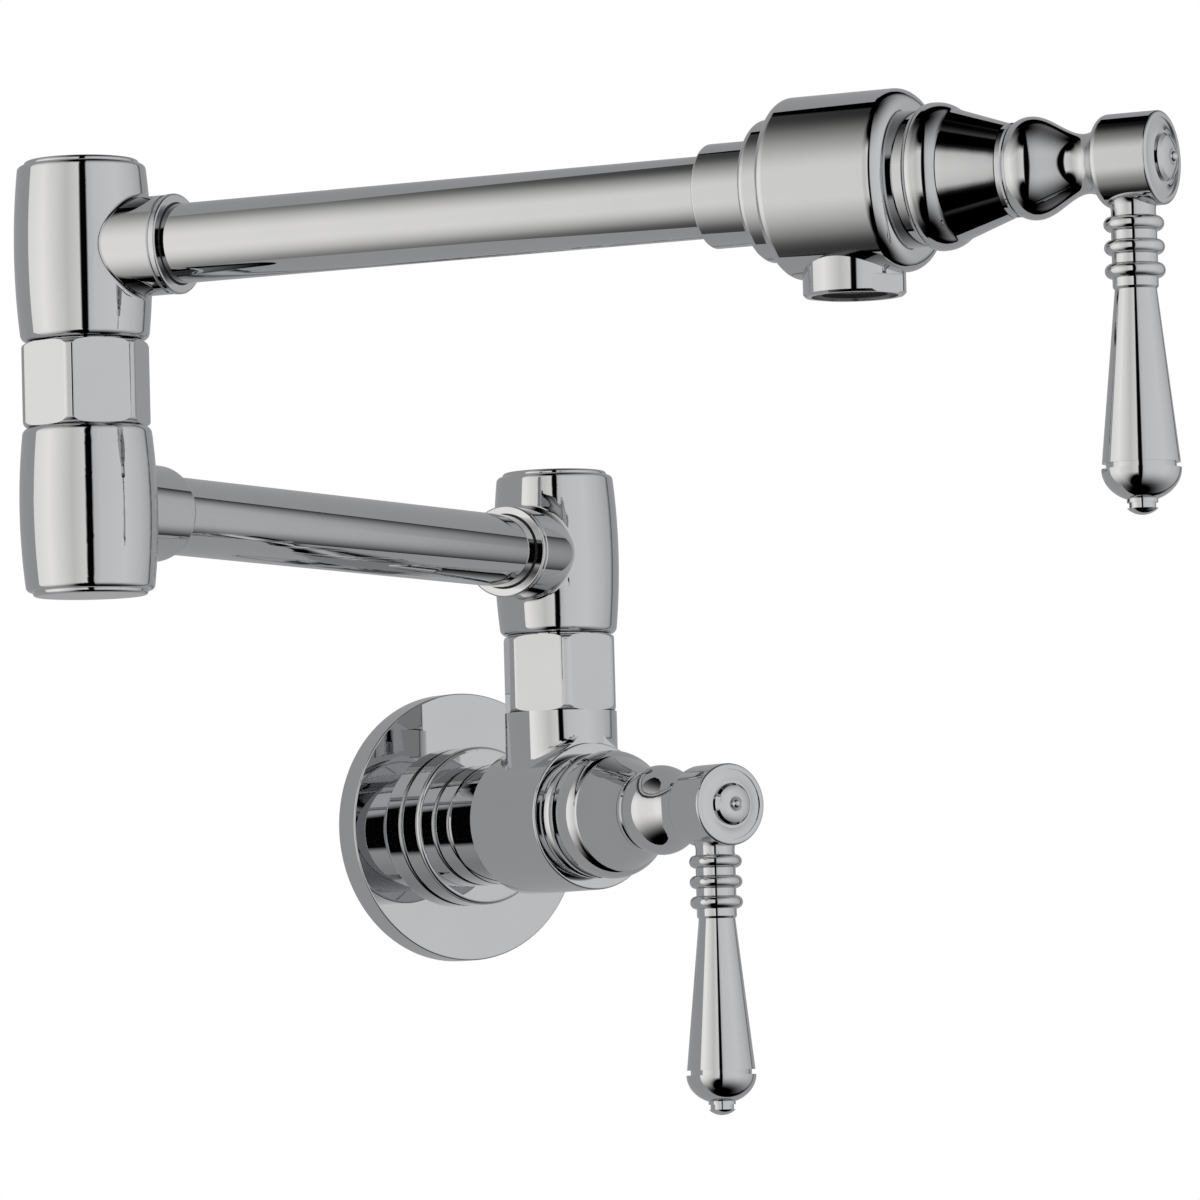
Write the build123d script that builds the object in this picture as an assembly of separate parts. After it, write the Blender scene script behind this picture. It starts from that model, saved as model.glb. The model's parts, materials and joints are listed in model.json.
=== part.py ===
from build123d import *
import os
from math import asin, cos, hypot, radians, sin

# A wall-mounted pot filler: a wall valve, two swinging arms and an outlet valve.
# The origin is the centre of the wall flange's back face. The wall is the plane Y = 0,
# the object stands out along -Y, and +Z is up. Driving dimensions are in millimetres and degrees.

# Clearances
running_clearance = 0.05
seat_clearance = 0.02
swivel_gap = 0.3

# Wall flange, lock ring and inlet
flange_diameter = 74.2
flange_thickness = 7.8
flange_wall = 2.5
flange_edge = 0.5
gasket_width = 8.0
lock_ring_diameter = 43.8
lock_ring_length = 8.7
shank_diameter = 26.0
inlet_diameter = 18.3
inlet_depth = 14.0
coupling_diameter = 33.2
coupling_length = 8.1
coupling_tail_diameter = 22.0
coupling_tail_length = 7.0
ring_edge = 1.2
coupling_edge = 0.5
waterway_diameter = 14.0

# Wall valve body and its post
neck_length = 15.1
body_diameter = 40.0
body_length = 31.7
body_edge = 0.6
post_setback = 16.3
post_diameter = 30.6
post_height = 28.9
post_fillet = 3.0
bonnet_ring_diameter = 33.8
bonnet_ring_rim = 0.5
bonnet_ring_cove = 2.8
bonnet_ring_hollow = 0.3
bonnet_ring_length = 5.0
bonnet_neck_diameter = 31.8
bonnet_seam = 0.6
bonnet_seam_diameter = 31.0

# Swivel joints
nut_flats = 28.8
nut_height = 20.8
nut_diameter = 32.2
nut_corner = 3.2
nut_round = 1.8
post_nut_turn = 3.0
elbow_nut_turn = 45.0
stub_diameter = 25.0
stub_length = 10.0
spigot_diameter = 20.0
spigot_wall = 2.4
spigot_depth = 12.0
spigot_grip = 9.0
collar_diameter = 24.2
collar_thickness = 3.0
bush_thickness = 1.8
seal_height = 2.2
seal_depth = 1.4
seal_spacing = 4.0

# Barrel hubs and their sockets
hub_diameter = 34.0
hub_end_diameter = 31.5
outer_round = 1.4
inner_round = 2.0
plug_diameter = 28.4
plug_head = 1.1
plug_edge = 0.9
plug_shank_diameter = 22.0
plug_shank_length = 5.0
post_hub_below = 21.5
post_hub_above = 22.0
lower_elbow_below = 20.9
lower_elbow_above = 19.6
upper_elbow_below = 22.2
upper_elbow_above = 21.4
socket_wall = 2.4
socket_fillet = 1.2
lip_height = 0.15
lip_length = 1.9
lip_edge = 0.5
post_socket_reach = 29.0
upper_socket_reach = 27.3
plain_socket_wall = 2.25
plain_socket_reach = 31.8
plain_socket_edge = 1.6
mouth_seal_width = 0.4
mouth_seal_depth = 1.6
mouth_seal_inset = 0.15

# Arms
tube_diameter = 19.6
tube_wall = 1.5
tube_start = 13.0
lower_arm_length = 237.5
lower_arm_angle = 27.5
outlet_reach = 208.9
upper_arm_angle = 60.9

# Outlet valve body, measured from the nozzle axis along the arm
collar_back = 36.1
step_back = 22.4
drum_back = 16.0
drum_front = 16.6
tube_collar_wall = 2.6
step_diameter = 33.8
drum_diameter = 43.0
collar_edge = 0.6
step_edge = 2.0
drum_edge = 2.8
front_round = 4.0
drum_neck_length = 3.5
drum_neck_diameter = 32.0
tube_grip = 10.0

# Outlet nozzle and aerator
nozzle_diameter = 24.2
nozzle_length = 4.8
nozzle_edge = 0.6
nozzle_bore_diameter = 20.4
nozzle_thread_diameter = 20.0
nozzle_thread_wall = 1.5
nozzle_land_depth = 4.0
flat_depth = 1.1
flat_height = 4.2
flat_turn = -82.0
insert_inset = 0.4
insert_lip = 0.8
insert_mouth_diameter = 15.4
screen_diameter = 17.4
screen_thickness = 0.5
screen_pitch = 1.5
screen_wire = 0.6
washer_thickness = 1.2
washer_width = 2.0

# Valve head, measured outward from the bonnet's base
boss_diameter = 30.4
boss_length = 5.0
chamber_diameter = 27.0
chamber_depth = 33.2
base_diameter = 32.8
base_ring_diameter = 34.6
base_ring = 3.0
base_ring_bulge = 0.35
shoulder_diameter = 31.2
shoulder = 7.6
cove_hollow = 0.06
cone_start_diameter = 30.4
cone_start = 8.4
cone_end_diameter = 21.9
bonnet_length = 20.9
bonnet_wall = 2.2
bonnet_front_wall = 3.0
seat_seal_thickness = 1.2
seat_seal_width = 5.0
disc_diameter = 20.0
disc_thickness = 3.0
disc_port_diameter = 5.0
disc_port_offset = 5.5
drive_plate_diameter = 18.0
drive_plate_thickness = 3.0
cartridge_cavity = 14.0
cartridge_window_diameter = 6.0
cartridge_window_depth = 4.0
cartridge_guide_diameter = 14.0
cartridge_guide_length = 8.0
stem_diameter = 8.0

# Handle, measured outward from the bonnet's base
turning_gap = 0.25
lip_ring_diameter = 22.0
lip_ring_length = 1.1
lip_groove = 0.35
ball_diameter = 23.6
ball_centre = 28.2
cheek_diameter = 17.9
cheek = 33.9
waist_diameter = 13.9
waist = 39.4
neck_end_diameter = 17.6
drum_hub_start = 43.9
drum_hub_face = 58.8
drum_hub_diameter = 21.8
drum_hub_edge = 2.2
drum_face_edge = 0.8
cap_diameter = 18.6
cap_recess = 2.2
cap_step = 0.3
cap_foot_diameter = 12.6
cap_foot_height = 0.25
cap_sag = 0.15
cap_boss_diameter = 11.2
cap_boss_height = 1.5
cap_boss_edge = 0.7
cap_dome_height = 2.3
cap_dome_bulge = 0.2
dimple_diameter = 3.9
dimple_depth = 0.6
finial_diameter = 2.5
screw_diameter = 4.0
screw_head_diameter = 6.6
screw_head_height = 2.6
screw_length = 14.0
screw_web = 2.4

# Lever, measured down from the handle's axis
lever_setback = 7.9
tenon_diameter = 6.0
tenon_top = 6.0
lever_neck_diameter = 10.6
lever_flare = 2.2
lever_flare_sink = 3.3
bead_diameter = 14.0
bead_thickness = 3.5
bead_first = 14.8
bead_pitch = 5.4
bead_count = 3
collar_end = 29.3
grip_start = 29.9
grip_end = 69.8
grip_start_diameter = 9.7
grip_end_diameter = 18.1
lever_groove_diameter = 16.2
lever_groove_width = 1.3
end_diameter = 18.5
end_length = 7.6
knob_turn = 66.0
button_ring_diameter = 7.2
button_ring_length = 0.9
button_neck_diameter = 6.2
button_neck_length = 1.3
button_diameter = 7.2
button_length = 1.5
end_pin_diameter = 6.0
end_pin_length = 8.0


# Shapes made from the dimensions

def turned(*steps):
    """Solid of revolution about Z. A step is a (radius, height) point, a pair of points for an arc,
    or a list of points for a smooth curve."""
    def place(point):
        return Vector(point[0], 0, point[1])
    edges = []
    here = steps[0]
    for step in steps[1:] + (steps[0],):
        if isinstance(step, list):
            end = step[-1]
            edges.append(Spline(place(here), *[place(point) for point in step]))
        elif isinstance(step[0], tuple):
            through, end = step
            edges.append(ThreePointArc(place(here), place(through), place(end)))
        else:
            end = step
            edges.append(Line(place(here), place(end)))
        here = end
    return revolve(Face(Wire(edges)), Axis.Z)


def rod(diameter, low, high):
    """Plain cylinder on Z."""
    return turned((0, low), (diameter / 2, low), (diameter / 2, high), (0, high))


def sleeve(inner, outer, low, high):
    """Plain ring on Z, from its two diameters."""
    return turned((inner / 2, low), (outer / 2, low), (outer / 2, high), (inner / 2, high))


def corner(radius, height, toward_radius, toward_height):
    """Arc points that round an outline's corner: a start, a point halfway, and an end."""
    bulge = 1 - cos(radians(45))
    start = (radius, height + toward_height)
    halfway = (radius + toward_radius * bulge, height + toward_height * bulge)
    end = (radius + toward_radius, height)
    return start, halfway, end


def dome(radius, base, height):
    """Points of a ball-shaped cap's outline: one halfway, and its tip."""
    ball = (radius ** 2 + height ** 2) / (2 * height)
    centre = base + height - ball
    middle = (radius / 2, centre + (ball ** 2 - radius ** 2 / 4) ** 0.5)
    return middle, (0, base + height)


def swell(radius, base, end_radius, end_height):
    """Middle of an arc that leaves an upright side and bends in to its end."""
    inward = radius - end_radius
    upward = end_height - base
    bend = (inward ** 2 + upward ** 2) / (2 * inward)
    turn = asin(upward / bend) / 2
    return (radius - bend * (1 - cos(turn)), base + bend * sin(turn))


def oval(radius, base, height, turn):
    """Point of a flattened cap's outline, at a turn in degrees from its rim."""
    return (radius * cos(radians(turn)), base + height * sin(radians(turn)))


def along(origin, heading):
    """Plane whose Z runs along a level heading and whose Y is up."""
    x, y = heading
    return Plane(origin=origin, x_dir=(-y, x, 0), z_dir=(x, y, 0))


# Places on the object

lock_ring_front = flange_thickness + lock_ring_length
coupling_front = lock_ring_front + coupling_length
body_back = coupling_front + neck_length
body_front = body_back + body_length
post_out = body_back + post_setback
bonnet_ring_front = body_front + bonnet_ring_length
lower_head_out = bonnet_ring_front + bonnet_seam

post_hub_bottom = post_height + nut_height + swivel_gap
lower_arm_height = post_hub_bottom + post_hub_below
lower_elbow_top = lower_arm_height + lower_elbow_above
upper_elbow_bottom = lower_elbow_top + nut_height + swivel_gap
upper_arm_height = upper_elbow_bottom + upper_elbow_below

lower_heading = (-cos(radians(lower_arm_angle)), -sin(radians(lower_arm_angle)))
back_heading = (-lower_heading[0], -lower_heading[1])
upper_heading = (cos(radians(upper_arm_angle)), -sin(radians(upper_arm_angle)))
wall_heading = (0, -1)

elbow_x = lower_arm_length * lower_heading[0]
elbow_y = -post_out + lower_arm_length * lower_heading[1]
post_axis = Pos(0, -post_out, 0)
elbow_axis = Pos(elbow_x, elbow_y, 0)

socket_diameter = tube_diameter + 2 * socket_wall
lip_diameter = socket_diameter + 2 * lip_height
plain_socket_diameter = tube_diameter + 2 * plain_socket_wall
tube_collar_diameter = tube_diameter + 2 * tube_collar_wall

drum_front_face = outlet_reach + drum_front
nozzle_thread_depth = (drum_diameter - chamber_diameter) / 2 - nozzle_thread_wall
upper_head_out = drum_front_face + drum_neck_length
valve_line = along((0, 0, 0), wall_heading)
upper_line = along((elbow_x, elbow_y, upper_arm_height), upper_heading)
lower_line = along((0, -post_out, lower_arm_height), lower_heading)
lower_head = valve_line * Pos(0, 0, lower_head_out)
upper_head = upper_line * Pos(0, 0, upper_head_out)

pieces = {}


# Wall flange with its gasket, lock ring and inlet coupling

def make_wall_end():
    flange_radius = flange_diameter / 2
    inside = flange_radius - flange_wall
    shank_hole = shank_diameter / 2 + seat_clearance
    edge = corner(flange_radius, flange_thickness, -flange_edge, -flange_edge)
    flange = turned(
        (shank_hole, flange_thickness - flange_wall),
        (inside, flange_thickness - flange_wall),
        (inside, 0),
        (flange_radius, 0),
        edge[0],
        (edge[1], edge[2]),
        (shank_hole, flange_thickness),
    )
    gasket_hole = 2 * (inside - gasket_width)
    gasket = sleeve(gasket_hole, 2 * (inside - seat_clearance), 0, flange_thickness - flange_wall)
    ring_radius = lock_ring_diameter / 2
    front = corner(ring_radius, lock_ring_front, -ring_edge, -ring_edge)
    back = corner(ring_radius, flange_thickness, -ring_edge, ring_edge)
    lock_ring = turned(
        (shank_hole, flange_thickness),
        back[2],
        (back[1], back[0]),
        front[0],
        (front[1], front[2]),
        (shank_hole, lock_ring_front),
    )
    tail_end = coupling_front + coupling_tail_length
    coupling_radius = coupling_diameter / 2
    heel = corner(coupling_radius, lock_ring_front, -ring_edge, ring_edge)
    coupling = turned(
        (inlet_diameter / 2, 0),
        (shank_diameter / 2, 0),
        (shank_diameter / 2, lock_ring_front),
        heel[2],
        (heel[1], heel[0]),
        (coupling_radius, coupling_front - coupling_edge),
        (coupling_radius - coupling_edge, coupling_front),
        (coupling_tail_diameter / 2, coupling_front),
        (coupling_tail_diameter / 2, tail_end),
        (waterway_diameter / 2, tail_end),
        (waterway_diameter / 2, inlet_depth),
        (inlet_diameter / 2, inlet_depth),
    )
    pieces["wall_flange"] = valve_line * flange
    pieces["flange_gasket"] = valve_line * gasket
    pieces["lock_ring"] = valve_line * lock_ring
    pieces["inlet_coupling"] = valve_line * coupling


# Swivel joint: union nut, spigot, seals and bush above a static stub

def stub_socket_bottom(base):
    return base - spigot_depth - swivel_gap


def add_stub(solid, axis, base):
    """Threaded stub on a static hub or post, with the bore that the spigot turns in."""
    bore = spigot_diameter + 2 * running_clearance
    grown = solid + axis * rod(stub_diameter, base - inner_round, base + stub_length)
    return grown - axis * rod(bore, stub_socket_bottom(base), base + stub_length)


def make_swivel(name, axis, base, turn):
    collar_bottom = base + stub_length + swivel_gap
    collar_top = collar_bottom + collar_thickness
    bush_top = collar_top + bush_thickness
    nut_top = base + nut_height
    top = nut_top + swivel_gap + spigot_grip
    spigot_radius = spigot_diameter / 2
    nut_radius = nut_diameter / 2
    foot = corner(nut_radius, 0, -nut_round, nut_round)
    crown = corner(nut_radius, nut_height, -nut_round, -nut_round)
    blank = turned((0, 0), foot[2], (foot[1], foot[0]), crown[0], (crown[1], crown[2]), (0, nut_height))
    outline = RegularPolygon(nut_flats / 2, 6, major_radius=False)
    hexagon = extrude(fillet(outline.vertices(), nut_corner), nut_height)
    nut = axis * Pos(0, 0, base) * Rot(0, 0, turn) * (hexagon & blank)
    thread_bore = stub_diameter + 2 * seat_clearance
    nut -= axis * rod(thread_bore, base, bush_top + swivel_gap)
    nut -= axis * rod(spigot_diameter + 2 * running_clearance, base, nut_top)
    spigot = turned(
        (spigot_radius - spigot_wall, base - spigot_depth),
        (spigot_radius, base - spigot_depth),
        (spigot_radius, collar_bottom),
        (collar_diameter / 2, collar_bottom),
        (collar_diameter / 2, collar_top),
        (spigot_radius, collar_top),
        (spigot_radius, top),
        (spigot_radius - spigot_wall, top),
    )
    seals = []
    groove_radius = spigot_radius - seal_depth
    for step in range(2):
        low = base - spigot_depth + seal_spacing / 2 + step * seal_spacing
        spigot -= sleeve(2 * groove_radius, spigot_diameter + seal_depth, low, low + seal_height)
        lip = spigot_diameter + running_clearance
        seals.append(axis * sleeve(2 * groove_radius, lip, low, low + seal_height))
    pieces[name + "_nut"] = nut
    pieces[name + "_spigot"] = axis * spigot
    pieces[name + "_spigot_seals"] = Compound(children=seals)
    pieces[name + "_bush"] = axis * sleeve(
        spigot_diameter + 2 * seat_clearance, collar_diameter, collar_top, bush_top
    )


# Wall valve body with its post

def make_valve_body():
    body_radius = body_diameter / 2
    edge = corner(body_radius, body_front, -body_edge, -body_edge)
    rear = corner(body_radius, body_back, -body_edge, body_edge)
    boss_end = lower_head_out + boss_length
    shell = turned(
        (0, coupling_front),
        (coupling_diameter / 2 - coupling_edge, coupling_front),
        (coupling_diameter / 2, coupling_front + coupling_edge),
        (coupling_diameter / 2, body_back),
        rear[2],
        (rear[1], rear[0]),
        edge[0],
        (edge[1], edge[2]),
        (boss_diameter / 2, body_front),
        (boss_diameter / 2, boss_end),
        (0, boss_end),
    )
    long_barrel = valve_line * rod(body_diameter, body_back - post_diameter, body_front + post_diameter)
    saddle = long_barrel + post_axis * rod(post_diameter, 0, post_height)
    meeting = [edge for edge in saddle.edges() if edge.geom_type not in (GeomType.CIRCLE, GeomType.LINE)]
    saddle = fillet(meeting, post_fillet)
    slab = Box(2 * body_diameter, body_length - 2 * body_edge, 4 * post_height)
    slab_centre = Pos(0, -(body_back + body_front) / 2, 0)
    body = valve_line * shell + (saddle & slab_centre * slab)
    body = add_stub(body + post_axis * rod(post_diameter, 0, post_height), post_axis, post_height)
    seat = lower_head_out - chamber_depth
    tail_hole = coupling_tail_diameter + 2 * seat_clearance
    tail_end = coupling_front + coupling_tail_length + seat_clearance
    body -= valve_line * rod(tail_hole, coupling_front, tail_end)
    body -= valve_line * rod(waterway_diameter, coupling_front, seat)
    body -= valve_line * rod(chamber_diameter, seat, boss_end)
    body -= post_axis * rod(waterway_diameter, 0, stub_socket_bottom(post_height))
    ring_radius = bonnet_ring_diameter / 2
    ring_neck = bonnet_neck_diameter / 2
    rim_end = body_front + bonnet_ring_rim
    cove_end = rim_end + bonnet_ring_cove
    cove_middle = ((ring_radius + ring_neck) / 2 - bonnet_ring_hollow, (rim_end + cove_end) / 2)
    ring = turned(
        (boss_diameter / 2 + seat_clearance, body_front),
        (ring_radius, body_front),
        (ring_radius, rim_end),
        (cove_middle, (ring_neck, cove_end)),
        (ring_neck, bonnet_ring_front),
        (bonnet_seam_diameter / 2, bonnet_ring_front),
        (bonnet_seam_diameter / 2, lower_head_out),
        (boss_diameter / 2 + seat_clearance, lower_head_out),
    )
    pieces["valve_body"] = body
    pieces["bonnet_ring"] = valve_line * ring


# Barrel hubs: one on the post and two at the elbow

def barrel(inner, outer, way):
    """Barrel on Z about the arm's axis. The way is 1 with the outer end up and -1 with it down."""
    end_radius = hub_end_diameter / 2
    solid = turned(
        (0, -inner * way),
        (end_radius, -inner * way),
        ((hub_diameter / 2, (outer - inner) / 2 * way), (end_radius, outer * way)),
        (0, outer * way),
    )
    rims = solid.edges().filter_by(GeomType.CIRCLE).sort_by(Axis.Z)
    rounds = (inner_round, outer_round)[::way]
    solid = fillet(rims[0], rounds[0])
    return fillet(solid.edges().filter_by(GeomType.CIRCLE).sort_by(Axis.Z)[-1], rounds[1])


def lipped_socket(reach):
    """Side socket with a rounded lip at its mouth."""
    plain = socket_diameter / 2
    lip = lip_diameter / 2
    back = corner(lip, reach - lip_length, -lip_edge, lip_edge)
    front = corner(lip, reach, -lip_edge, -lip_edge)
    return turned(
        (0, 0),
        (plain, 0),
        (plain, reach - lip_length - lip_edge),
        (plain - lip_edge, reach - lip_length),
        (lip - lip_edge, reach - lip_length),
        (back[1], back[0]),
        front[0],
        (front[1], front[2]),
        (0, reach),
    )


def plain_socket(reach):
    """Side socket with a rounded end."""
    edge = corner(plain_socket_diameter / 2, reach, -plain_socket_edge, -plain_socket_edge)
    return turned(
        (0, 0),
        (plain_socket_diameter / 2, 0),
        edge[0],
        (edge[1], edge[2]),
        (0, reach),
    )


def make_hub(name, axis, height, heading, socket, reach, inner, outer, way):
    place = axis * Pos(0, 0, height)
    side = along((0, 0, 0), heading)
    solid = barrel(inner, outer, way) + side * socket
    meeting = [edge for edge in solid.edges() if edge.geom_type not in (GeomType.CIRCLE, GeomType.LINE)]
    solid = fillet(meeting, socket_fillet)
    tube_hole = tube_diameter + 2 * seat_clearance
    solid -= side * rod(tube_hole, tube_start, reach)
    solid -= side * rod(tube_diameter - 2 * tube_wall, 0, tube_start)
    shank_start = (outer - plug_shank_length) * way
    passage = [(inner - spigot_grip) * -way, shank_start]
    solid -= rod(waterway_diameter, min(passage), max(passage))
    shank = [shank_start, outer * way]
    solid -= rod(plug_shank_diameter + 2 * seat_clearance, min(shank), max(shank))
    shank_low = [shank_start, (outer + plug_head) * way]
    plug = rod(plug_shank_diameter, min(shank_low), max(shank_low))
    plug_top = (outer + plug_head) * way
    rim = corner(plug_diameter / 2, plug_top, -plug_edge, -plug_edge * way)
    plug += turned(
        (0, outer * way),
        (plug_diameter / 2, outer * way),
        rim[0],
        (rim[1], rim[2]),
        (0, plug_top),
    )
    pieces[name + "_plug"] = place * plug
    return place * solid


def grip_spigot(solid, axis, bottom):
    """Bore at a turning hub's lower end that holds its spigot."""
    hole = spigot_diameter + 2 * seat_clearance
    return solid - axis * rod(hole, bottom, bottom + spigot_grip + seat_clearance)


def seal_mouth(name, solid, line, reach):
    """Rubber ring set in a socket's mouth, round the tube."""
    outer = tube_diameter + 2 * mouth_seal_width
    inside = reach - mouth_seal_inset - mouth_seal_depth
    seal = sleeve(tube_diameter + 2 * seat_clearance, outer, inside, reach - mouth_seal_inset)
    pieces[name] = line * seal
    return solid - line * rod(outer + 2 * seat_clearance, inside, reach)


def make_hubs():
    post_hub = make_hub(
        "post_hub", post_axis, lower_arm_height, lower_heading, lipped_socket(post_socket_reach),
        post_socket_reach, post_hub_below, post_hub_above, 1,
    )
    post_hub = grip_spigot(post_hub, post_axis, post_hub_bottom)
    pieces["post_hub"] = seal_mouth("post_socket_seal", post_hub, lower_line, post_socket_reach)
    lower_elbow = make_hub(
        "lower_elbow", elbow_axis, lower_arm_height, back_heading, plain_socket(plain_socket_reach),
        plain_socket_reach, lower_elbow_above, lower_elbow_below, -1,
    )
    pieces["lower_elbow_hub"] = add_stub(lower_elbow, elbow_axis, lower_elbow_top)
    upper_elbow = make_hub(
        "upper_elbow", elbow_axis, upper_arm_height, upper_heading, lipped_socket(upper_socket_reach),
        upper_socket_reach, upper_elbow_below, upper_elbow_above, 1,
    )
    upper_elbow = grip_spigot(upper_elbow, elbow_axis, upper_elbow_bottom)
    pieces["upper_elbow_hub"] = seal_mouth("elbow_socket_seal", upper_elbow, upper_line, upper_socket_reach)


# Arm tubes

def make_tubes():
    inner = tube_diameter - 2 * tube_wall
    lower_end = lower_arm_length - tube_start
    upper_end = outlet_reach - collar_back + tube_grip
    pieces["lower_tube"] = lower_line * sleeve(inner, tube_diameter, tube_start, lower_end)
    pieces["upper_tube"] = upper_line * sleeve(inner, tube_diameter, tube_start, upper_end)


# Outlet valve body, nozzle and aerator

def make_outlet():
    collar_start = outlet_reach - collar_back
    step_start = outlet_reach - step_back
    drum_start = outlet_reach - drum_back
    collar_radius = tube_collar_diameter / 2
    step_radius = step_diameter / 2
    drum_radius = drum_diameter / 2
    boss_end = upper_head_out + boss_length
    collar_round = corner(collar_radius, collar_start, -collar_edge, collar_edge)
    step_round = corner(step_radius, step_start, -step_edge, step_edge)
    drum_round = corner(drum_radius, drum_start, -drum_edge, drum_edge)
    front = corner(drum_radius, drum_front_face, -front_round, -front_round)
    body = turned(
        (0, collar_start),
        collar_round[2],
        (collar_round[1], collar_round[0]),
        (collar_radius, step_start),
        step_round[2],
        (step_round[1], step_round[0]),
        (step_radius, drum_start),
        drum_round[2],
        (drum_round[1], drum_round[0]),
        front[0],
        (front[1], front[2]),
        (drum_neck_diameter / 2, drum_front_face),
        (drum_neck_diameter / 2, upper_head_out),
        (boss_diameter / 2, upper_head_out),
        (boss_diameter / 2, boss_end),
        (0, boss_end),
    )
    seat = upper_head_out - chamber_depth
    body -= rod(tube_diameter + 2 * seat_clearance, collar_start, collar_start + tube_grip + seat_clearance)
    body -= rod(waterway_diameter, collar_start, seat)
    body -= rod(chamber_diameter, seat, boss_end)
    nozzle_axis = upper_line * Pos(0, 0, outlet_reach) * Rot(-90, 0, 0)
    body = upper_line * body
    thread_hole = nozzle_thread_diameter + 2 * seat_clearance
    body -= nozzle_axis * rod(thread_hole, -drum_radius, 0)
    pieces["outlet_body"] = body

    nozzle_radius = nozzle_diameter / 2
    bottom = -drum_radius - nozzle_length
    land = bottom + nozzle_land_depth
    thread_top = nozzle_thread_depth - drum_radius
    skirt = turned(
        (0, bottom),
        (nozzle_radius - nozzle_edge, bottom),
        (nozzle_radius, bottom + nozzle_edge),
        (nozzle_radius, thread_top),
        (0, thread_top),
    )
    cheek = Pos(nozzle_radius - flat_depth + nozzle_radius, 0, bottom + flat_height / 2)
    cutter = cheek * Box(2 * nozzle_radius, 2 * nozzle_diameter, flat_height)
    skirt -= cutter
    skirt -= Rot(0, 0, 180) * cutter
    upright = Pos(
        elbow_x + outlet_reach * upper_heading[0], elbow_y + outlet_reach * upper_heading[1], upper_arm_height
    )
    skirt = upright * Rot(0, 0, flat_turn) * skirt
    around = upper_line * rod(drum_diameter + 2 * seat_clearance, drum_start, drum_front_face)
    nozzle = skirt - around + upright * rod(nozzle_thread_diameter, land, thread_top)
    nozzle -= upright * rod(nozzle_bore_diameter, bottom, land)
    nozzle -= upright * rod(waterway_diameter, bottom, thread_top)
    pieces["outlet_nozzle"] = nozzle

    insert_diameter = nozzle_bore_diameter - 2 * seat_clearance
    insert_bottom = bottom + insert_inset
    insert_top = land - washer_thickness
    screen_bottom = insert_bottom + insert_lip
    seat_radius = screen_diameter / 2 + seat_clearance
    insert = turned(
        (insert_mouth_diameter / 2, insert_bottom),
        (insert_diameter / 2, insert_bottom),
        (insert_diameter / 2, insert_top),
        (seat_radius, insert_top),
        (seat_radius, screen_bottom),
        (insert_mouth_diameter / 2, screen_bottom),
    )
    gap = screen_pitch - screen_wire
    reach = insert_mouth_diameter / 2
    mesh = Circle(screen_diameter / 2)
    half = int(reach / screen_pitch)
    holes = []
    for column in range(-half, half + 1):
        for row in range(-half, half + 1):
            x = column * screen_pitch
            y = row * screen_pitch
            if hypot(abs(x) + gap / 2, abs(y) + gap / 2) < reach:
                holes.append(Pos(x, y) * Rectangle(gap, gap))
    mesh -= holes
    pieces["aerator_screen"] = upright * Pos(0, 0, screen_bottom) * extrude(mesh, screen_thickness)
    pieces["aerator_insert"] = upright * insert
    pieces["aerator_washer"] = upright * sleeve(
        insert_diameter - 2 * washer_width, insert_diameter, insert_top, land
    )


# Valve head: bonnet, ceramic-disc cartridge and stem

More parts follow.
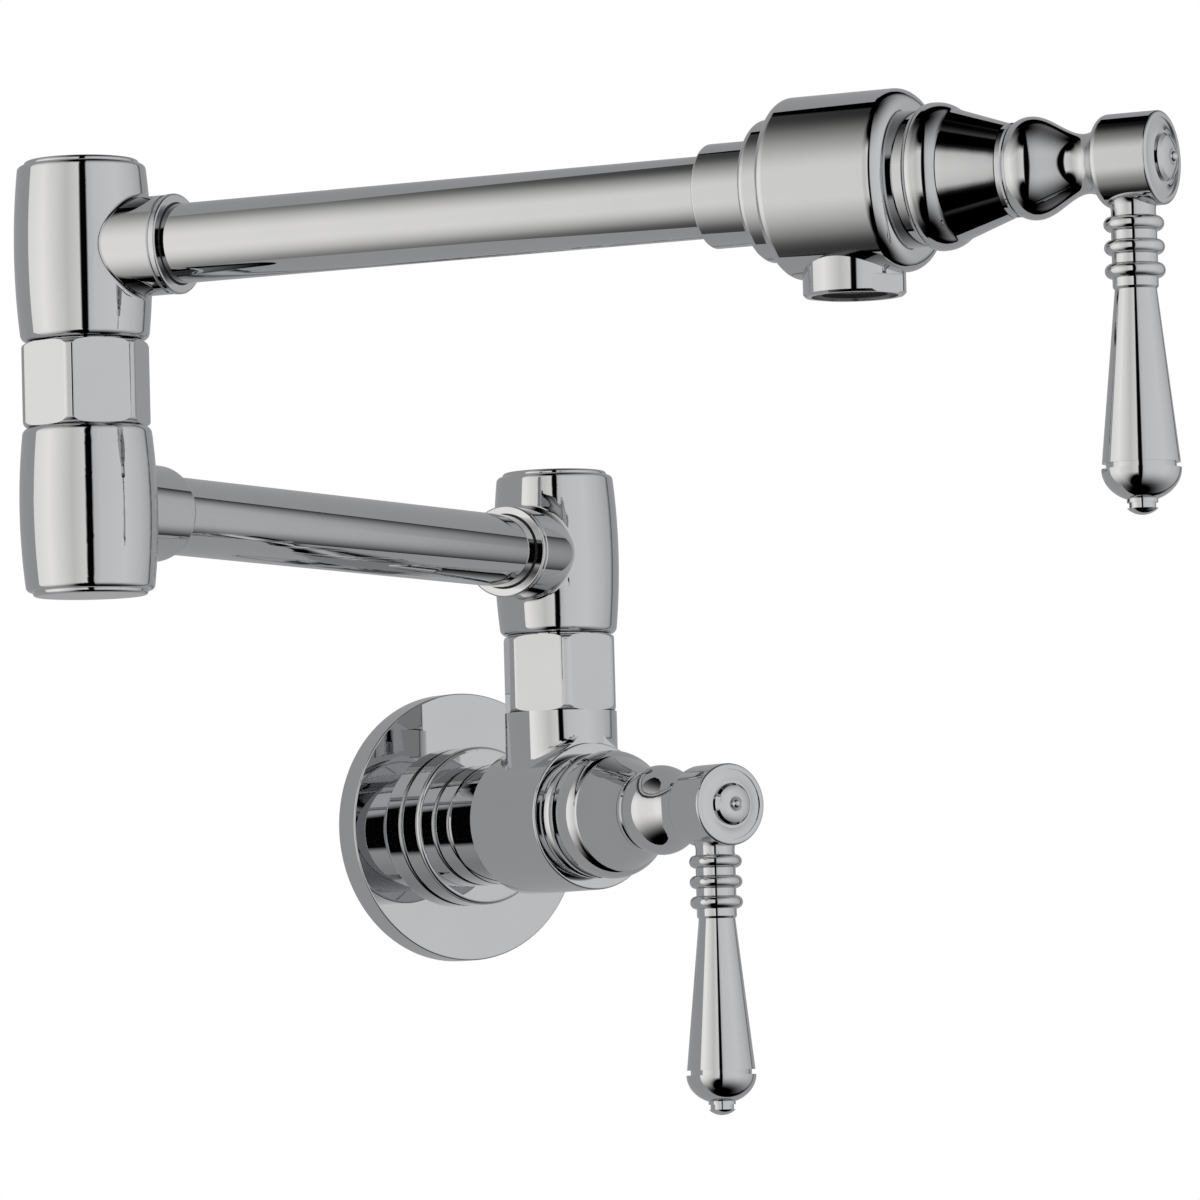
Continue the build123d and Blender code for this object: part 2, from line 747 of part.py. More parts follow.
def make_head(name, head):
    skirt_radius = boss_diameter / 2 + seat_clearance
    skirt_depth = boss_length + seat_clearance
    ring_radius = base_ring_diameter / 2
    shoulder_radius = shoulder_diameter / 2
    cone_start_radius = cone_start_diameter / 2
    cone_end_radius = cone_end_diameter / 2
    ring_middle = ((base_diameter / 2 + ring_radius) / 2 + base_ring_bulge, base_ring / 2)
    cove_middle = ((shoulder_radius + cone_start_radius) / 2 - cove_hollow, (shoulder + cone_start) / 2)
    stem_hole = stem_diameter / 2 + swivel_gap
    cavity_end = bonnet_length - bonnet_front_wall
    bonnet = turned(
        (skirt_radius, 0),
        (base_diameter / 2, 0),
        (ring_middle, (ring_radius, base_ring)),
        (swell(ring_radius, base_ring, shoulder_radius, shoulder), (shoulder_radius, shoulder)),
        (cove_middle, (cone_start_radius, cone_start)),
        (cone_end_radius, bonnet_length),
        (stem_hole, bonnet_length),
        (stem_hole, cavity_end),
        (cone_end_radius - bonnet_wall, cavity_end),
        (cone_start_radius - bonnet_wall, cone_start),
        (cone_start_radius - bonnet_wall, skirt_depth),
        (skirt_radius, skirt_depth),
    )
    seal_top = seat_seal_thickness - chamber_depth
    body_radius = chamber_diameter / 2 - seat_clearance
    guide_end = boss_length + cartridge_guide_length
    cavity_radius = disc_diameter / 2 + swivel_gap
    cavity_top = seal_top + cartridge_cavity
    stem_bore = stem_diameter / 2 + running_clearance
    cartridge = turned(
        (cavity_radius, seal_top),
        (body_radius, seal_top),
        (body_radius, boss_length),
        (cartridge_guide_diameter / 2, boss_length),
        (cartridge_guide_diameter / 2, guide_end),
        (stem_bore, guide_end),
        (stem_bore, cavity_top),
        (cavity_radius, cavity_top),
    )
    window = Pos(0, 0, cavity_top - cartridge_window_depth) * Rot(90, 0, 0)
    cartridge -= window * rod(cartridge_window_diameter, -chamber_diameter, chamber_diameter)
    seal_inner = chamber_diameter - 2 * seat_seal_width
    seat_seal = sleeve(seal_inner, 2 * body_radius, -chamber_depth, seal_top)
    fixed_top = seal_top + disc_thickness
    turning_low = fixed_top + running_clearance
    turning_top = turning_low + disc_thickness
    fixed_disc = rod(2 * cavity_radius - 2 * seat_clearance, seal_top, fixed_top)
    turning_disc = rod(disc_diameter, turning_low, turning_top)
    for side in (-1, 1):
        port = Pos(side * disc_port_offset, 0, 0) * rod(disc_port_diameter, seal_top, turning_top)
        fixed_disc -= port
        turning_disc -= Rot(0, 0, 90) * port
    web_start = drum_hub_face - cap_recess - screw_head_height - screw_web
    plate_top = turning_top + drive_plate_thickness
    stem = rod(drive_plate_diameter, turning_top, plate_top) + rod(stem_diameter, plate_top, web_start)
    stem -= rod(screw_diameter + 2 * seat_clearance, web_start + screw_web - screw_length, web_start)
    pieces[name + "_bonnet"] = head * bonnet
    pieces[name + "_cartridge"] = head * cartridge
    pieces[name + "_seat_seal"] = head * seat_seal
    pieces[name + "_fixed_disc"] = head * fixed_disc
    pieces[name + "_turning_disc"] = head * turning_disc
    pieces[name + "_stem"] = head * stem


# Handle: neck, drum-shaped hub, cap and screw

def make_handle(name, head):
    stem_hole = stem_diameter / 2 + seat_clearance
    lip_start = bonnet_length + turning_gap
    lip_end = lip_start + lip_ring_length
    lip_radius = lip_ring_diameter / 2
    neck = turned(
        (stem_hole, lip_start),
        (lip_radius, lip_start),
        (lip_radius, lip_end),
        (lip_radius - lip_groove, lip_end + lip_groove),
        [(ball_diameter / 2, ball_centre), (cheek_diameter / 2, cheek), (waist_diameter / 2, waist),
         (neck_end_diameter / 2, drum_hub_start)],
        (stem_hole, drum_hub_start),
    )
    hub_radius = drum_hub_diameter / 2
    rear = corner(hub_radius, drum_hub_start, -drum_hub_edge, drum_hub_edge)
    face_round = corner(hub_radius, drum_hub_face, -drum_face_edge, -drum_face_edge)
    recess_floor = drum_hub_face - cap_recess
    seat_floor = recess_floor - screw_head_height
    web_start = seat_floor - screw_web
    recess_radius = cap_diameter / 2 + seat_clearance
    screw_hole = screw_diameter / 2 + seat_clearance
    counterbore = screw_head_diameter / 2 + seat_clearance
    hub = turned(
        (stem_hole, drum_hub_start),
        rear[2],
        (rear[1], rear[0]),
        face_round[0],
        (face_round[1], face_round[2]),
        (recess_radius, drum_hub_face),
        (recess_radius, recess_floor),
        (counterbore, recess_floor),
        (counterbore, seat_floor),
        (screw_hole, seat_floor),
        (screw_hole, web_start),
        (stem_hole, web_start),
    )
    lever_top = Pos(0, 0, drum_hub_face - lever_setback) * Rot(90, 0, 0)
    hub -= lever_top * rod(tenon_diameter + 2 * seat_clearance, tenon_top, drum_hub_diameter)
    cap_radius = cap_diameter / 2
    boss_radius = cap_boss_diameter / 2
    foot_radius = cap_foot_diameter / 2
    plate_edge = drum_hub_face - cap_step
    foot_top = drum_hub_face + cap_foot_height
    plate_middle = ((cap_radius + foot_radius) / 2, (plate_edge + foot_top) / 2 - cap_sag)
    finial_radius = finial_diameter / 2
    dimple_radius = dimple_diameter / 2
    boss_top = drum_hub_face + cap_boss_height
    dome_top = drum_hub_face + cap_dome_height
    dome_foot = boss_radius - cap_boss_edge
    dome_middle = ((dome_foot + dimple_radius) / 2, (boss_top + dome_top) / 2 + cap_dome_bulge)
    finial_base = dome_top - dimple_depth
    cap = turned(
        (0, recess_floor),
        (cap_radius, recess_floor),
        (cap_radius, plate_edge),
        (plate_middle, (foot_radius, foot_top)),
        (boss_radius, foot_top),
        (boss_radius, boss_top - cap_boss_edge),
        (dome_foot, boss_top),
        (dome_middle, (dimple_radius, dome_top)),
        (finial_radius, finial_base),
        (finial_radius, dome_top),
        dome(finial_radius, dome_top, finial_radius),
    )
    head_top = seat_floor + screw_head_height
    screw = rod(screw_diameter, seat_floor - screw_length, seat_floor)
    screw += rod(screw_head_diameter, seat_floor, head_top)
    screw -= Pos(0, 0, head_top) * extrude(RegularPolygon(screw_diameter / 2, 6), -screw_head_height / 2)
    pieces[name + "_handle_neck"] = head * neck
    pieces[name + "_handle_hub"] = head * hub
    pieces[name + "_handle_cap"] = head * cap
    pieces[name + "_handle_screw"] = head * screw
    make_lever(name, head, lever_top)


def make_lever(name, head, lever_top):
    neck_radius = lever_neck_diameter / 2
    bead_radius = bead_diameter / 2
    hub_radius = drum_hub_diameter / 2
    flare = corner(neck_radius, hub_radius - lever_flare_sink, lever_flare, lever_flare + lever_flare_sink)
    outline = [
        (0, 0),
        (neck_radius + lever_flare, 0),
        flare[2],
        (flare[1], flare[0]),
    ]
    for bead in range(bead_count):
        middle = bead_first + bead * bead_pitch
        outline.append((neck_radius, middle - bead_thickness / 2))
        outline.append(((bead_radius, middle), (neck_radius, middle + bead_thickness / 2)))
    outline += [
        (neck_radius, collar_end),
        (grip_start_diameter / 2, grip_start),
        (grip_end_diameter / 2, grip_end),
        (0, grip_end),
    ]
    lever = turned(*outline) - Rot(-90, 0, 0) * rod(
        drum_hub_diameter + 2 * seat_clearance, -drum_hub_diameter, drum_hub_diameter
    )
    lever += rod(tenon_diameter, tenon_top, grip_start)
    lever -= rod(end_pin_diameter + 2 * seat_clearance, grip_end - end_pin_length, grip_end)
    groove_end = grip_end + lever_groove_width
    knob_radius = end_diameter / 2
    knob_top = oval(knob_radius, groove_end, end_length, knob_turn)
    ring_end = knob_top[1] + button_ring_length
    neck_end = ring_end + button_neck_length
    ring_radius = button_ring_diameter / 2
    button_radius = button_diameter / 2
    button_middle, button_tip = dome(button_radius, neck_end, button_length)
    end = turned(
        (0, grip_end - end_pin_length),
        (end_pin_diameter / 2, grip_end - end_pin_length),
        (end_pin_diameter / 2, grip_end),
        (lever_groove_diameter / 2, grip_end),
        (lever_groove_diameter / 2, groove_end),
        (knob_radius, groove_end),
        (oval(knob_radius, groove_end, end_length, knob_turn / 4),
         oval(knob_radius, groove_end, end_length, knob_turn / 2)),
        (oval(knob_radius, groove_end, end_length, knob_turn * 3 / 4), knob_top),
        (ring_radius, knob_top[1]),
        (ring_radius, ring_end),
        (button_neck_diameter / 2, ring_end),
        (button_neck_diameter / 2, neck_end),
        (button_radius, neck_end),
        (button_middle, button_tip),
    )
    pieces[name + "_lever"] = head * lever_top * lever
    pieces[name + "_lever_end"] = head * lever_top * end


# The whole object

make_wall_end()
make_valve_body()
make_swivel("post", post_axis, post_height, post_nut_turn)
make_hubs()
make_swivel("elbow", elbow_axis, lower_elbow_top, elbow_nut_turn)
make_tubes()
make_outlet()
for valve, head_plane in (("lower", lower_head), ("upper", upper_head)):
    make_head(valve, head_plane)
    make_handle(valve, head_plane)

os.makedirs("parts", exist_ok=True)
for piece_name, piece in pieces.items():
    export_step(piece, f"parts/{piece_name}.step")
print(len(pieces), "pieces")
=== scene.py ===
# %% [markdown]
# A pot filler is a tap that folds against the kitchen wall over the stove. Nearly every part of this one
# that shows is polished chrome, so the picture is made of reflections. The shapes come from the
# CAD frame and stay as they are. This lesson gives them their finishes, builds the studio that the
# chrome reflects, and sets the camera at the photograph's viewing angle.

# %% Load the frame
import json
from math import atan2, cos, radians, sin

import bmesh
import bpy
from mathutils import Matrix, Vector

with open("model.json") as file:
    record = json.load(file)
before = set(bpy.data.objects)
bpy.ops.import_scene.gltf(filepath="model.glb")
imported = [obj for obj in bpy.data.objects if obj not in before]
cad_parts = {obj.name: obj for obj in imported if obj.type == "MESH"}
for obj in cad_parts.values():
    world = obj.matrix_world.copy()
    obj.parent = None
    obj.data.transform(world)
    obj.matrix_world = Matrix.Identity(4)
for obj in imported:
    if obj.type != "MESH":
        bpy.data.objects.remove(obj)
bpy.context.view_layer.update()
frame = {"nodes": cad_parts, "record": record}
nodes = frame["nodes"]
mm = 0.001

# %% [markdown]
# Colours are written as sRGB hex values, as a paint chart gives them. Blender works in linear
# light, so one function converts them. A second small function adds a shader node with its
# settings and links, a third one does sums with it, and a fourth starts an empty material. All the
# materials below are made with these.

# %% Helpers for colours and nodes


def linear(hex_colour):
    """Linear RGBA from an sRGB hex value such as #C8C9CB."""
    channels = []
    for start in (1, 3, 5):
        value = int(hex_colour[start:start + 2], 16) / 255
        channels.append(value / 12.92 if value <= 0.04045 else ((value + 0.055) / 1.055) ** 2.4)
    return (*channels, 1.0)


def add_node(tree, kind, settings=None, inputs=None):
    """Adds one node. A setting is an attribute, and an input is a value or another node's output."""
    node = tree.nodes.new(kind)
    for name, value in (settings or {}).items():
        setattr(node, name, value)
    for name, value in (inputs or {}).items():
        if isinstance(value, bpy.types.NodeSocket):
            tree.links.new(value, node.inputs[name])
        else:
            node.inputs[name].default_value = value
    return node


def calculate(tree, operation, first, second=0.0):
    """Adds a Math node and gives its result."""
    return add_node(tree, "ShaderNodeMath", {"operation": operation}, {0: first, 1: second}).outputs["Value"]


def new_material(name):
    """Empty node material with its output node."""
    material = bpy.data.materials.new(name)
    material.use_nodes = True
    tree = material.node_tree
    tree.nodes.clear()
    return material, tree, add_node(tree, "ShaderNodeOutputMaterial")


print("chrome grey in linear light:", [round(v, 3) for v in linear("#CFD0D2")[:3]])

# %% [markdown]
# The camera stands in front of the tap, to its left and a little below it, far away with a long
# lens, so that the tubes hardly converge. A camera in Blender looks along its own -Z with its own
# +Y up, so its rotation is made of three axes: to its right, up, and back toward itself.

# %% Camera
camera_place = Vector((-1.14613, -1.77588, -0.08152))
camera_azimuth = radians(-34.0)
camera_elevation = radians(-3.9)
camera_roll = radians(-1.55)
sensor_width = 36.0
lens_length = 227.7
camera_range = 50.0

toward_camera = Vector((
    sin(camera_azimuth) * cos(camera_elevation),
    -cos(camera_azimuth) * cos(camera_elevation),
    sin(camera_elevation),
))
upright = Vector((0.0, 0.0, 1.0))
level_right = (-toward_camera).cross(upright).normalized()
level_up = level_right.cross(-toward_camera)
camera_right = cos(camera_roll) * level_right + sin(camera_roll) * level_up
camera_up = cos(camera_roll) * level_up - sin(camera_roll) * level_right

camera_data = bpy.data.cameras.new("photo_camera")
camera_data.sensor_width = sensor_width
camera_data.lens = lens_length
camera_data.clip_end = camera_range
camera = bpy.data.objects.new("photo_camera", camera_data)
bpy.context.scene.collection.objects.link(camera)
camera_turn = Matrix((camera_right, camera_up, toward_camera)).transposed().to_4x4()
camera.matrix_world = Matrix.Translation(camera_place) @ camera_turn
bpy.context.scene.camera = camera
print("camera at", [round(v, 3) for v in camera_place])

# %% [markdown]
# Chrome plate is a hard, bluish-white layer of metal, thinner than a thousandth of a millimetre, over
# polished brass. It is a near-perfect mirror, so the eye sees the room in it and not the metal.
# Buffing leaves shallow waves, and fine lines that follow the way a piece was made: round it where it
# was turned, along it where it was drawn as a tube. Handling leaves a faint haze. All three are noise on
# the object's own coordinates. The real lines are finer than a pixel, so they are drawn 1.2 mm wide here.
# The sizes and heights of the patterns are in millimetres. A mix node has several sets of sockets with
# the same names, so the sockets of its colour set are picked by number.

# %% Chrome
mix_factor, mix_first, mix_second, mix_colour = 0, 6, 7, 2
chrome_tints = ("#CCCDCF", "#D3D4D5")
wave_size = 16.0
wave_height = 0.003
line_width = 1.2
line_height = 0.0005
haze_size = 22.0
haze_span = (0.35, 0.7)
polish_span = (0.012, 0.03)


def chrome(name, heading=0.0, stretch=(1.0, 1.0, 1.0)):
    """Polished chrome plate. The heading turns the buffing lines about Z, and the stretch draws them out."""
    material, tree, output = new_material(name)
    place = add_node(tree, "ShaderNodeTexCoord").outputs["Object"]
    haze = add_node(tree, "ShaderNodeTexNoise", {}, {
        "Vector": place, "Scale": 1 / (haze_size * mm), "Detail": 3.0, "Roughness": 0.6,
    }).outputs["Fac"]
    polish = add_node(tree, "ShaderNodeMapRange", {}, {
        "Value": haze, "From Min": haze_span[0], "From Max": haze_span[1],
        "To Min": polish_span[0], "To Max": polish_span[1],
    }).outputs["Result"]
    tint = add_node(tree, "ShaderNodeMix", {"data_type": "RGBA"}, {
        mix_factor: haze, mix_first: linear(chrome_tints[0]), mix_second: linear(chrome_tints[1]),
    }).outputs[mix_colour]
    waves = add_node(tree, "ShaderNodeTexNoise", {}, {
        "Vector": place, "Scale": 1 / (wave_size * mm), "Detail": 1.0,
    }).outputs["Fac"]
    drawn_out = add_node(tree, "ShaderNodeMapping", {"vector_type": "TEXTURE"}, {
        "Vector": place, "Rotation": (0.0, 0.0, heading), "Scale": stretch,
    }).outputs["Vector"]
    lines = add_node(tree, "ShaderNodeTexNoise", {}, {
        "Vector": drawn_out, "Scale": 1 / (line_width * mm), "Detail": 2.0,
    }).outputs["Fac"]
    wavy = add_node(tree, "ShaderNodeBump", {}, {"Height": waves, "Distance": wave_height * mm})
    lined = add_node(tree, "ShaderNodeBump", {}, {
        "Height": lines, "Distance": line_height * mm, "Normal": wavy.outputs["Normal"],
    })
    shader = add_node(tree, "ShaderNodeBsdfPrincipled", {}, {
        "Base Color": tint, "Roughness": polish, "Normal": lined.outputs["Normal"], "Metallic": 1.0,
    })
    tree.links.new(shader.outputs["BSDF"], output.inputs["Surface"])
    return material


print("chrome lines are", line_width, "mm wide and", line_height, "mm high")

# %% [markdown]
# The pieces are sorted by how they were made. The barrels were turned about an upright axis. The wall
# end was turned about the axis that comes out of the wall. The outlet valve was turned about the line of
# its arm, which the joint's axis in the record gives. The tubes were drawn, and their lines run along
# them. The cast body, the nuts and the levers were buffed by hand, with no lasting direction.

# %% Chrome for each way of making
joints = {joint["name"]: joint for joint in frame["record"]["behaviour"]["joints"]}
upper_axis = joints["upper_handle_turn"]["axis"]
elbow_place = Vector(joints["upper_arm_swing"]["pos_m"])
post_place = Vector(joints["lower_arm_swing"]["pos_m"])
lower_run = elbow_place - post_place
upper_bearing = atan2(upper_axis[1], upper_axis[0])
lower_bearing = atan2(lower_run.y, lower_run.x)
wall_bearing = radians(-90)
draw = 20.0

along_axis = (draw, 1.0, 1.0)
round_level_axis = (1.0, draw, draw)
round_upright_axis = (draw, draw, 1.0)
handle_pieces = ("bonnet", "handle_neck", "handle_hub", "handle_cap")
made_by = [
    (chrome("chrome_on_turned_barrels", 0.0, round_upright_axis), [
        "post_hub", "post_hub_plug", "lower_elbow_hub", "lower_elbow_plug",
        "upper_elbow_hub", "upper_elbow_plug", "outlet_nozzle",
    ]),
    (chrome("chrome_on_turned_wall_end", wall_bearing, round_level_axis), [
        "wall_flange", "lock_ring", "inlet_coupling", "bonnet_ring",
        *(f"lower_{piece}" for piece in handle_pieces),
    ]),
    (chrome("chrome_on_turned_outlet", upper_bearing, round_level_axis), [
        "outlet_body", *(f"upper_{piece}" for piece in handle_pieces),
    ]),
    (chrome("chrome_on_lower_drawn_tube", lower_bearing, along_axis), ["lower_tube"]),
    (chrome("chrome_on_upper_drawn_tube", upper_bearing, along_axis), ["upper_tube"]),
]
chrome_of = {piece: finish for finish, pieces in made_by for piece in pieces}
print("turned or drawn pieces:", len(chrome_of))

# %% [markdown]
# The other finishes show less. Rubber is matt and nearly black. The aerator's mesh and the screws under
# the caps are stainless steel with a satin grain. Stems and cartridges are machined brass. Bushes are
# moulded acetal, the aerator's insert is moulded in black, and the valve discs are lapped alumina, smooth
# and off-white. One function makes them all, because in each the colour, the roughness and the bump
# follow one fine grain.

# %% Rubber, steel, brass, plastics and ceramic
grain_span = (0.3, 0.7)


def grained(name, dark, light, grain, roughness, metallic, relief):
    """Finish with one fine grain, sized in millimetres, in its colour, roughness and relief."""
    material, tree, output = new_material(name)
    place = add_node(tree, "ShaderNodeTexCoord").outputs["Object"]
    noise = add_node(tree, "ShaderNodeTexNoise", {}, {
        "Vector": place, "Scale": 1 / (grain * mm), "Detail": 4.0, "Roughness": 0.65,
    }).outputs["Fac"]
    colour = add_node(tree, "ShaderNodeMix", {"data_type": "RGBA"}, {
        mix_factor: noise, mix_first: linear(dark), mix_second: linear(light),
    }).outputs[mix_colour]
    spread = add_node(tree, "ShaderNodeMapRange", {}, {
        "Value": noise, "From Min": grain_span[0], "From Max": grain_span[1],
        "To Min": roughness[0], "To Max": roughness[1],
    }).outputs["Result"]
    bump = add_node(tree, "ShaderNodeBump", {}, {"Height": noise, "Distance": relief * mm})
    shader = add_node(tree, "ShaderNodeBsdfPrincipled", {}, {
        "Base Color": colour, "Roughness": spread, "Normal": bump.outputs["Normal"], "Metallic": metallic,
    })
    tree.links.new(shader.outputs["BSDF"], output.inputs["Surface"])
    return material


finishes = {
    "chrome": chrome("chrome_on_hand_buffed_brass"),
    "rubber": grained("nitrile_rubber", "#161617", "#2A2A2C", 0.6, (0.45, 0.6), 0.0, 0.01),
    "steel": grained("satin_stainless_steel", "#4C4D50", "#717376", 0.5, (0.25, 0.4), 1.0, 0.004),
    "brass": grained("machined_brass", "#A8874C", "#C6A468", 0.4, (0.2, 0.35), 1.0, 0.006),
    "bearing_plastic": grained("moulded_acetal", "#DAD8CF", "#E8E6DF", 1.5, (0.4, 0.5), 0.0, 0.01),
    "black_plastic": grained("moulded_black_plastic", "#0E0E0F", "#1C1C1E", 0.8, (0.4, 0.55), 0.0, 0.01),
    "ceramic": grained("lapped_alumina", "#E2E0DA", "#F0EEE9", 2.0, (0.15, 0.25), 0.0, 0.002),
}
for part in frame["record"]["subparts"]:
    mesh = nodes[part["node"]].data
    mesh.materials.clear()
    mesh.materials.append(chrome_of.get(part["node"], finishes[part["material_slot"]]))

# %% [markdown]
# Chrome shows the studio. The photograph was lit by a large softbox on the left, warm and brightest halfway
# along, and a flatter one on the right. Between them is a black gap, where the camera stands.
# Above and below the softboxes, and behind the tap, the room is dark. All this is painted with light on the
# inside of a sphere round the tap. One list gives the colour by bearing, in degrees from the camera. Another
# gives the softboxes' edges by bearing: the angle where they end above, how softly, and where they end below.

# %% Colours and edges of the softboxes
studio_gain = 1.5
tones_by_bearing = [
    (-180.0, "#040404"), (-136.0, "#040404"), (-128.0, "#D2D1CF"), (-103.0, "#D6D5D3"),
    (-68.0, "#E5E3E0"), (-28.0, "#BBBAB8"), (-7.5, "#CCCBC9"), (-5.5, "#040404"),
    (4.5, "#040404"), (6.5, "#B0B0B1"), (18.0, "#BDBDBE"), (64.0, "#C3C3C4"),
    (100.0, "#B5B5B6"), (126.0, "#A3A3A4"), (136.0, "#040404"), (180.0, "#040404"),
]
edges_by_bearing = [
    (-180.0, 80.0, 68.0, 78.0), (-54.0, 80.0, 68.0, 78.0), (-30.0, 57.0, 30.0, 44.0),
    (-19.0, 50.0, 16.0, 33.0), (-8.0, 46.0, 14.0, 30.0), (8.0, 84.0, 62.0, 73.0), (180.0, 86.0, 64.0, 73.0),
]
print("softbox colours:", len(tones_by_bearing), "edges:", len(edges_by_bearing))

# %% [markdown]
# The light is worked out from two angles on the sphere: the bearing round it, and the rise above the
# horizon. A colour ramp holds the colours by bearing. A second ramp holds the three angles of the edges as
# its red, green and blue, each as a share of a half turn. The light fades in from both edges.

# %% Light of the studio
half_turn_degrees = 180.0
half_turn = radians(half_turn_degrees)


def fill_ramp(ramp, stops):
    """Sets the stops of a colour ramp, given as pairs of a bearing in degrees and a colour."""
    while len(ramp.elements) < len(stops):
        ramp.elements.new(1.0)
    for element, (bearing, colour) in zip(ramp.elements, stops):
        element.position = (bearing + half_turn_degrees) / (2 * half_turn_degrees)
        element.color = colour


studio_light, tree, output = new_material("studio_light")
place = add_node(tree, "ShaderNodeTexCoord").outputs["Object"]
toward = add_node(tree, "ShaderNodeVectorMath", {"operation": "NORMALIZE"}, {0: place}).outputs["Vector"]
parts = add_node(tree, "ShaderNodeSeparateXYZ", {}, {"Vector": toward}).outputs
bearing = calculate(tree, "ARCTAN2", parts["Y"], parts["X"])
rise = calculate(tree, "ARCSINE", parts["Z"])
round_about = add_node(tree, "ShaderNodeMapRange", {}, {
    "Value": bearing, "From Min": -half_turn, "From Max": half_turn,
}).outputs["Result"]
tone = add_node(tree, "ShaderNodeValToRGB", {}, {"Fac": round_about})
fill_ramp(tone.color_ramp, [(degrees, linear(colour)) for degrees, colour in tones_by_bearing])
edges = add_node(tree, "ShaderNodeValToRGB", {}, {"Fac": round_about})
fill_ramp(edges.color_ramp, [
    (degrees, (*(angle / half_turn_degrees for angle in angles), 1.0))
    for degrees, *angles in edges_by_bearing
])
shares = add_node(tree, "ShaderNodeSeparateColor", {}, {"Color": edges.outputs["Color"]}).outputs
top, fade, low = [
    calculate(tree, "MULTIPLY", shares[channel], half_turn) for channel in ("Red", "Green", "Blue")
]
from_top = add_node(tree, "ShaderNodeMapRange", {"interpolation_type": "SMOOTHSTEP"}, {
    "Value": calculate(tree, "SUBTRACT", top, rise), "From Max": fade,
}).outputs["Result"]
from_below = add_node(tree, "ShaderNodeMapRange", {"interpolation_type": "SMOOTHSTEP"}, {
    "Value": calculate(tree, "ADD", rise, low), "From Max": fade,
}).outputs["Result"]
level = calculate(tree, "MINIMUM", from_top, from_below)
strength = calculate(tree, "MULTIPLY", level, studio_gain)
glow = add_node(tree, "ShaderNodeEmission", {}, {"Color": tone.outputs["Color"], "Strength": strength})
tree.links.new(glow.outputs["Emission"], output.inputs["Surface"])
print("studio light nodes:", len(tree.nodes))

# %% [markdown]
# The sphere is a plain ball, turned so that its bearings start at the camera. It shows only in
# reflections: the camera and the shadows pass it by. Two helpers make it, because the studio needs
# other plain shapes below: one turns a bmesh into an object, and one hides a card from all but reflections.

# %% Sphere of the studio
studio_centre = Vector((-0.10, -0.22, 0.05))
studio_radius = 1.3
round_segments = 64


def shape_object(name, form, material):
    """Object made of a bmesh, with its material."""
    mesh = bpy.data.meshes.new(name)
    form.to_mesh(mesh)
    form.free()
    mesh.materials.append(material)
    return bpy.data.objects.new(name, mesh)


def reflection_only(card):
    """Links a card of the studio and keeps it out of the camera's view and out of the shadows."""
    bpy.context.scene.collection.objects.link(card)
    card.visible_camera = False
    card.visible_diffuse = False
    card.visible_transmission = False
    card.visible_shadow = False


form = bmesh.new()
bmesh.ops.create_uvsphere(
    form, u_segments=round_segments, v_segments=round_segments // 2, radius=studio_radius
)
studio = shape_object("studio", form, studio_light)
studio.location = studio_centre
studio.rotation_euler = (0.0, 0.0, atan2(toward_camera.y, toward_camera.x))
reflection_only(studio)
print("studio radius:", studio_radius, "m")

# %% [markdown]
# Every surface of the tap that looks back at the wall is an even mid grey: the chrome sees a grey board
# that the tap is mounted on. It is near, so each piece sees the board's edges at another angle, and it has
# to be a card at its real place: a square of 1 m, stretched to the board's size. Seen from behind, the card
# is clear, because an arm that swings past it would turn black in its shade.

# %% Board behind the tap
board_left = -0.42
board_right = 1.05
board_low = -0.6
board_high = 0.75
board_behind = 0.02
board_grey = "#8D8D8E"
half_square = 0.5

board_light, tree, output = new_material("board_light")
glow = add_node(tree, "ShaderNodeEmission", {}, {"Color": linear(board_grey), "Strength": studio_gain})
clear = add_node(tree, "ShaderNodeBsdfTransparent")
from_behind = add_node(tree, "ShaderNodeNewGeometry").outputs["Backfacing"]
one_sided = add_node(tree, "ShaderNodeMixShader", {}, {
    0: from_behind, 1: glow.outputs["Emission"], 2: clear.outputs["BSDF"],
})
tree.links.new(one_sided.outputs["Shader"], output.inputs["Surface"])
form = bmesh.new()
bmesh.ops.create_grid(form, x_segments=1, y_segments=1, size=half_square)
board = shape_object("board", form, board_light)
board.location = ((board_left + board_right) / 2, board_behind, (board_low + board_high) / 2)
board.rotation_euler = (half_turn / 2, 0.0, 0.0)
board.scale = (board_right - board_left, board_high - board_low, 1.0)
reflection_only(board)
print("board:", board_right - board_left, "by", board_high - board_low, "m")

# %% [markdown]
# The background is plain white, as in the photograph. The world is white to the camera and in
# reflections, and it lights matt surfaces evenly from all sides, at a lower level.

# %% World
even_level = 0.6
white = (1.0, 1.0, 1.0, 1.0)

world = bpy.data.worlds.new("white_studio")
bpy.context.scene.world = world
world.use_nodes = True
tree = world.node_tree
tree.nodes.clear()
path = add_node(tree, "ShaderNodeLightPath").outputs
looked_at = calculate(tree, "MAXIMUM", path["Is Camera Ray"], path["Is Glossy Ray"])
looked_at = calculate(tree, "MAXIMUM", looked_at, path["Is Transmission Ray"])
backdrop = add_node(tree, "ShaderNodeBackground", {}, {"Color": white, "Strength": 1.0})
even_light = add_node(tree, "ShaderNodeBackground", {}, {"Color": white, "Strength": even_level})
chosen = add_node(tree, "ShaderNodeMixShader", {}, {
    0: looked_at, 1: even_light.outputs["Background"], 2: backdrop.outputs["Background"],
})
world_output = add_node(tree, "ShaderNodeOutputWorld")
tree.links.new(chosen.outputs["Shader"], world_output.inputs["Surface"])
bpy.context.scene.view_settings.view_transform = "Standard"
print("even light:", even_level)

# %% [markdown]
# A pale floor lies far below, because the tap hangs on a wall. It is a round disc that fades to white with
# distance, so that no horizon shows from above.

# %% Floor
floor_level = -2.3
floor_size = 14.0
floor_fade_start = 1.5
floor_fade_end = 5.0
floor_colour = "#F6F6F5"

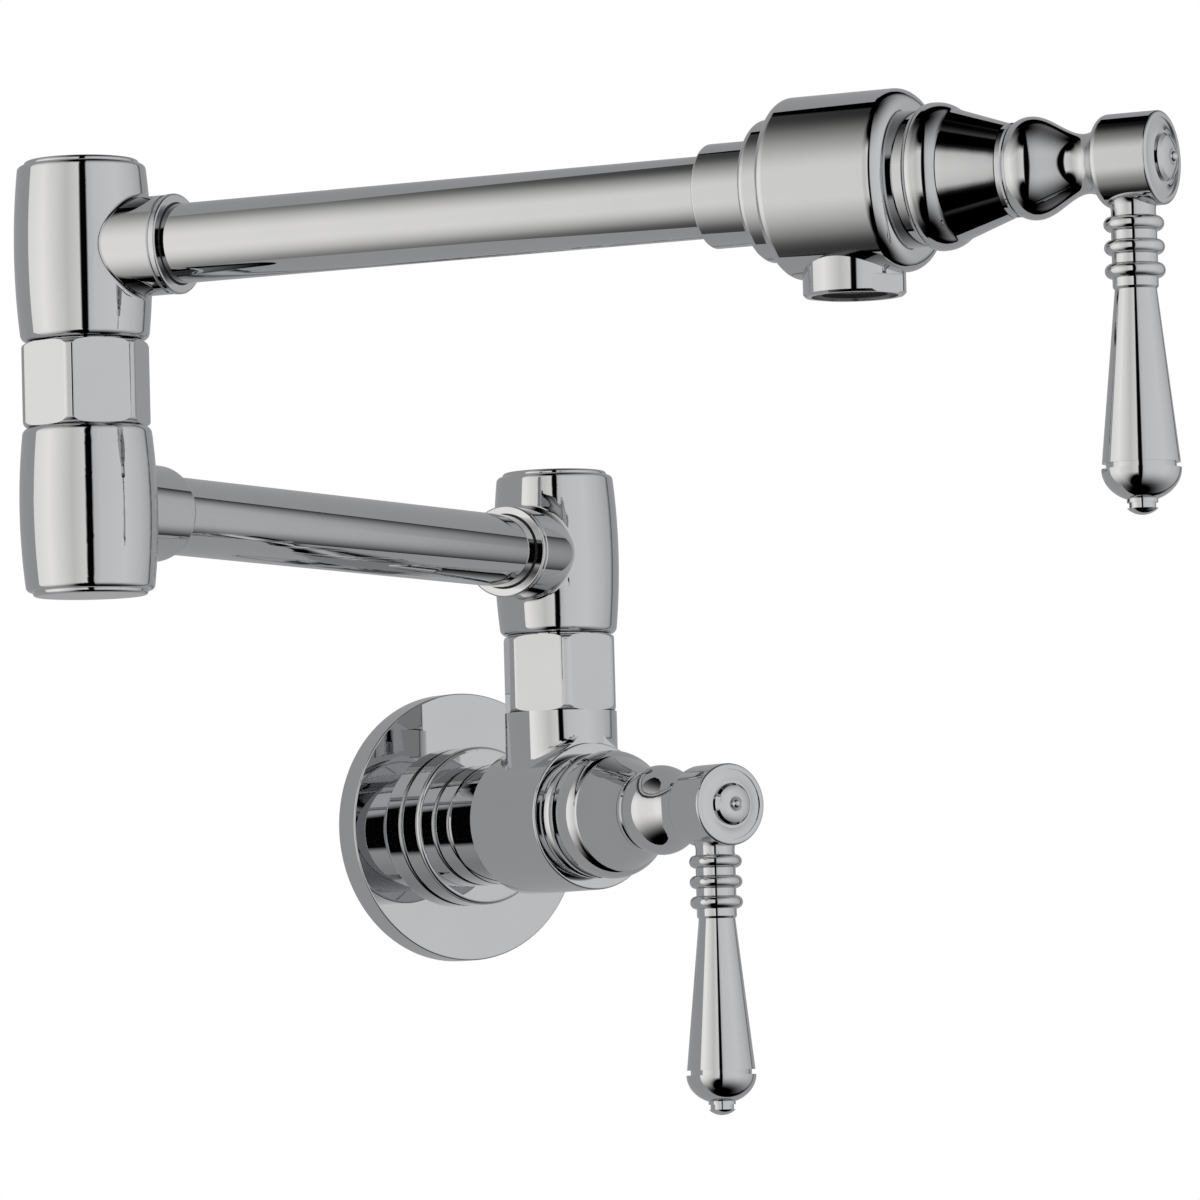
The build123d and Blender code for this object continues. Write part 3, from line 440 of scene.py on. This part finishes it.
floor_paint, tree, output = new_material("pale_floor")
place = add_node(tree, "ShaderNodeTexCoord").outputs["Object"]
distance = add_node(tree, "ShaderNodeVectorMath", {"operation": "LENGTH"}, {0: place}).outputs["Value"]
far = add_node(tree, "ShaderNodeMapRange", {"interpolation_type": "SMOOTHSTEP"}, {
    "Value": distance, "From Min": floor_fade_start, "From Max": floor_fade_end,
}).outputs["Result"]
matt = add_node(tree, "ShaderNodeBsdfDiffuse", {}, {"Color": linear(floor_colour)})
bright = add_node(tree, "ShaderNodeEmission", {}, {"Color": white, "Strength": 1.0})
blend = add_node(tree, "ShaderNodeMixShader", {}, {
    0: far, 1: matt.outputs["BSDF"], 2: bright.outputs["Emission"],
})
tree.links.new(blend.outputs["Shader"], output.inputs["Surface"])
form = bmesh.new()
bmesh.ops.create_circle(form, cap_ends=True, segments=round_segments, radius=floor_size)
floor = shape_object("floor", form, floor_paint)
floor.location = (studio_centre.x, studio_centre.y, floor_level)
bpy.context.scene.collection.objects.link(floor)
print("floor at", floor_level, "m")

# %% [markdown]
# Two wide area lamps stand where the softboxes are. They give the matt pieces their soft shading and
# the floor its shadow. The chrome doesn't see them, because it already sees the softboxes.

# %% Lamps
lamp_distance = 1.8
lamp_size = 1.2
lamp_power = 30.0
lamp_rise = 0.35
lamp_bearings = {"left_softbox": -55.0, "right_softbox": 60.0}
for lamp_name, lamp_bearing in lamp_bearings.items():
    lamp_data = bpy.data.lights.new(lamp_name, "AREA")
    lamp_data.size = lamp_size
    lamp_data.energy = lamp_power
    lamp = bpy.data.objects.new(lamp_name, lamp_data)
    ahead = Vector((toward_camera.x, toward_camera.y, lamp_rise))
    outward = Matrix.Rotation(radians(lamp_bearing), 3, "Z") @ ahead
    lamp.location = studio_centre + outward.normalized() * lamp_distance
    lamp.rotation_euler = outward.to_track_quat("Z", "Y").to_euler()
    lamp.visible_glossy = False
    lamp.visible_camera = False
    bpy.context.scene.collection.objects.link(lamp)
print("lamps:", lamp_power, "W each")
